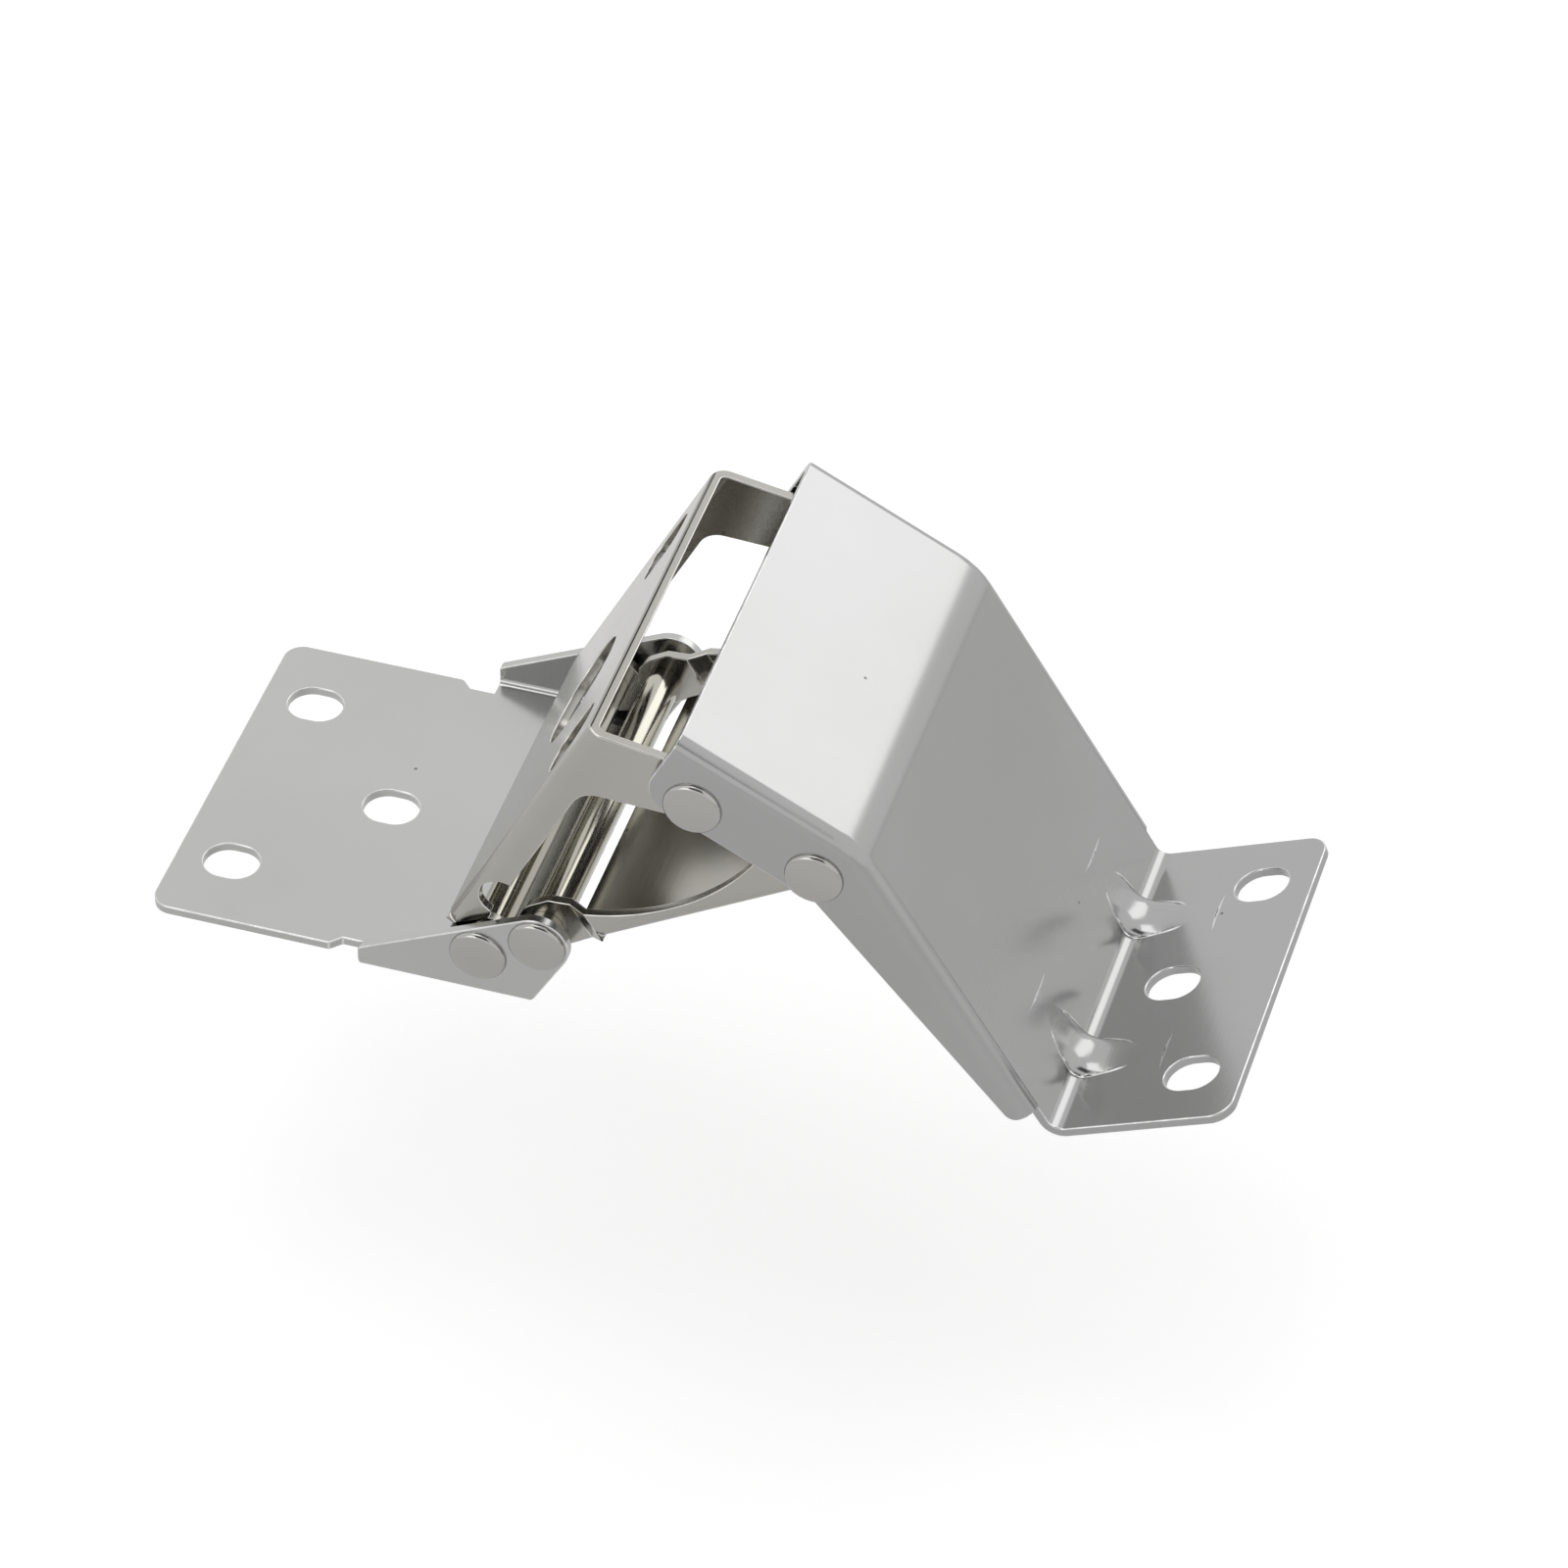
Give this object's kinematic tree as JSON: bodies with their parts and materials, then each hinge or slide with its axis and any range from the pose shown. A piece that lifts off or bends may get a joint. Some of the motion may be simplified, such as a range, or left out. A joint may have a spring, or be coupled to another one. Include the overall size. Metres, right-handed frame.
{
  "type": "folding hinge",
  "caption": "Folding hinge of bright pressed sheet: a slotted mounting leaf, a pierced link, a curved link and a cranked leaf with a slotted toe, riveted together.",
  "frame": {"origin": "on the mounting leaf's outer face, midway between its two end slots", "axes": "+X along the mounting leaf towards the toe, +Y along the pivots, +Z away from the mounting face"},
  "size_m": [0.1637, 0.0672, 0.063],
  "materials": {
    "plate_steel": "bright, faintly grained",
    "bright_steel": "polished",
    "link_steel": "bright",
    "rivet_steel": "bright, formed heads",
    "sleeve_steel": "drawn tube, bright",
    "washer_steel": "plain"
  },
  "bodies": {
    "mounting": {"mounting_leaf": "plate_steel", "rear_pin": "rivet_steel", "front_pin": "rivet_steel", "rear_sleeve": "sleeve_steel", "front_sleeve": "sleeve_steel", "front_spacer_left": "sleeve_steel", "front_spacer_right": "sleeve_steel", "rear_washer_left": "washer_steel", "rear_washer_right": "washer_steel"},
    "window": {"window_link": "link_steel"},
    "curved": {"curved_link": "link_steel", "lower_tail_left": "rivet_steel", "lower_tail_right": "rivet_steel"},
    "cranked": {"cranked_leaf": "bright_steel", "upper_rivet_left": "rivet_steel", "upper_rivet_right": "rivet_steel", "upper_washer_left": "washer_steel", "upper_washer_right": "washer_steel", "lower_rivet_left": "rivet_steel", "lower_rivet_right": "rivet_steel", "lower_washer_left": "washer_steel", "lower_washer_right": "washer_steel"}
  },
  "joints": [
    {"name": "fold", "type": "hinge", "parent": "mounting", "child": "window", "pos_m": [0.0437, 0, 0.0083], "axis": [0, -1, 0], "range_deg": [-40, 115]},
    {"name": "curved_swing", "type": "hinge", "parent": "mounting", "child": "curved", "pos_m": [0.05275, 0, 0.0127], "axis": [0, -1, 0], "range_deg": [-43, 122.5]},
    {"name": "crank_swing", "type": "hinge", "parent": "window", "child": "cranked", "pos_m": [0.07639, 0, 0.04608], "axis": [0, -1, 0], "range_deg": [-35, 12.5]}
  ],
  "couplings": [
    {"joint": "curved_swing", "follows": "fold", "ratio": 1.06},
    {"joint": "crank_swing", "follows": "fold", "ratio": -0.3}
  ]
}
